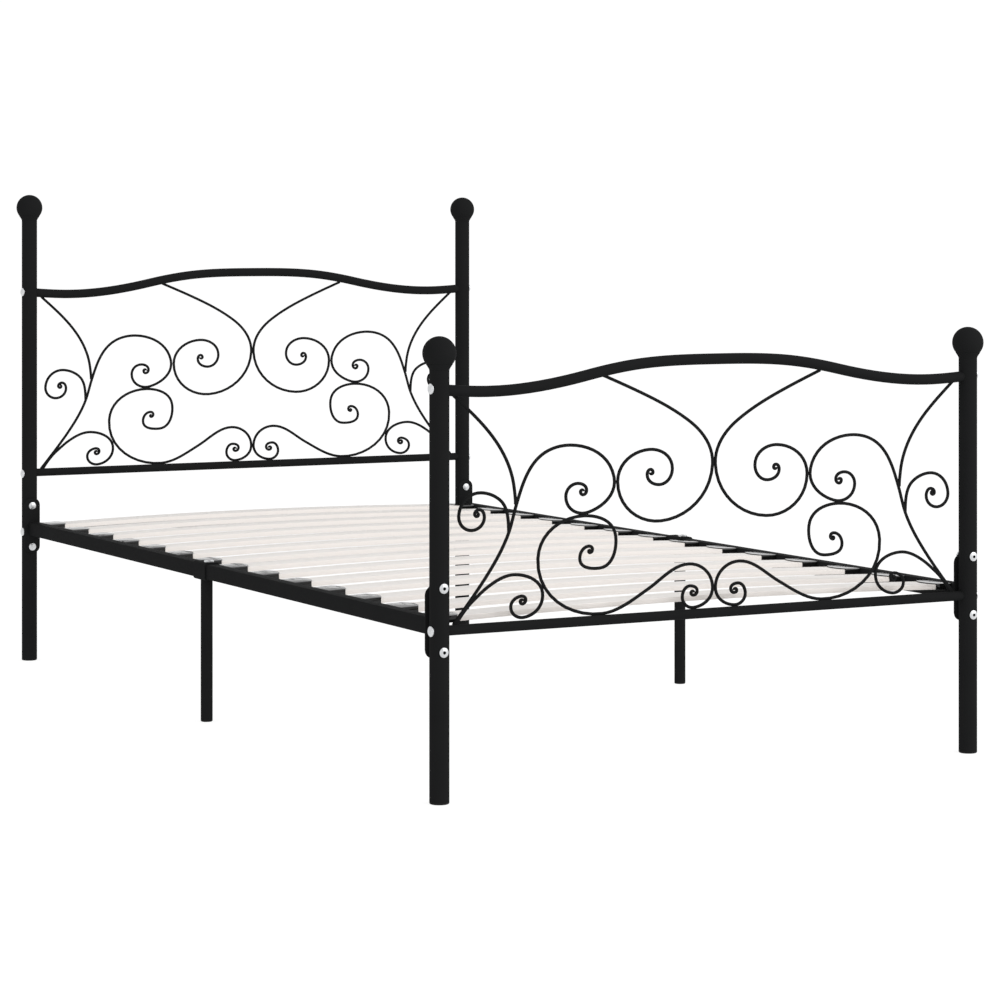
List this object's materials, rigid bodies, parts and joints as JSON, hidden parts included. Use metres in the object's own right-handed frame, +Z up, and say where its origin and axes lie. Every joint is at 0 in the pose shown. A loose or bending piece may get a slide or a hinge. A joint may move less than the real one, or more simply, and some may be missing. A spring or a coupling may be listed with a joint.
{
  "type": "metal bed frame",
  "caption": "Black tubular metal bed frame with ball finials, arched head and foot rails over scrollwork, middle legs and bowed wooden slats.",
  "frame": {"origin": "on the floor, under the middle of the four posts", "axes": "+X across the width to the right seen from the foot, +Y from the foot to the head, +Z up"},
  "size_m": [1.1894, 2.1344, 1.0757],
  "materials": {
    "black_coat": "satin black powder coat",
    "cap_plastic": "black moulded plastic",
    "zinc": "zinc plated",
    "slat_wood": "pale lacquered plywood; its end holders are black plastic"
  },
  "bodies": {
    "root": {"foot_bottom_rail": "black_coat", "foot_cap_left": "cap_plastic", "foot_cap_right": "cap_plastic", "foot_finial_left": "black_coat", "foot_finial_right": "black_coat", "foot_heart_left": "black_coat", "foot_heart_right": "black_coat", "foot_long_s_left": "black_coat", "foot_long_s_right": "black_coat", "foot_low_curl_left": "black_coat", "foot_low_curl_right": "black_coat", "foot_post_left": "black_coat", "foot_post_right": "black_coat", "foot_stem_left": "black_coat", "foot_stem_right": "black_coat", "foot_top_rail": "black_coat", "head_bottom_rail": "black_coat", "head_cap_left": "cap_plastic", "head_cap_right": "cap_plastic", "head_finial_left": "black_coat", "head_finial_right": "black_coat", "head_heart_left": "black_coat", "head_heart_right": "black_coat", "head_long_s_left": "black_coat", "head_long_s_right": "black_coat", "head_low_curl_left": "black_coat", "head_low_curl_right": "black_coat", "head_post_left": "black_coat", "head_post_right": "black_coat", "head_slat_level_bar": "black_coat", "head_stem_left": "black_coat", "head_stem_right": "black_coat", "head_top_rail": "black_coat", "joint_bolt_left": "zinc", "joint_bolt_right": "zinc", "middle_leg_cap_left": "cap_plastic", "middle_leg_cap_right": "cap_plastic", "middle_leg_left": "black_coat", "middle_leg_right": "black_coat", "rail_foot_half_left": "black_coat", "rail_foot_half_right": "black_coat", "rail_head_half_left": "black_coat", "rail_head_half_right": "black_coat", "slat_01": "slat_wood", "slat_02": "slat_wood", "slat_03": "slat_wood", "slat_04": "slat_wood", "slat_05": "slat_wood", "slat_06": "slat_wood", "slat_07": "slat_wood", "slat_08": "slat_wood", "slat_09": "slat_wood", "slat_10": "slat_wood", "slat_11": "slat_wood", "slat_12": "slat_wood", "slat_13": "slat_wood", "slat_14": "slat_wood"}
  },
  "joints": []
}
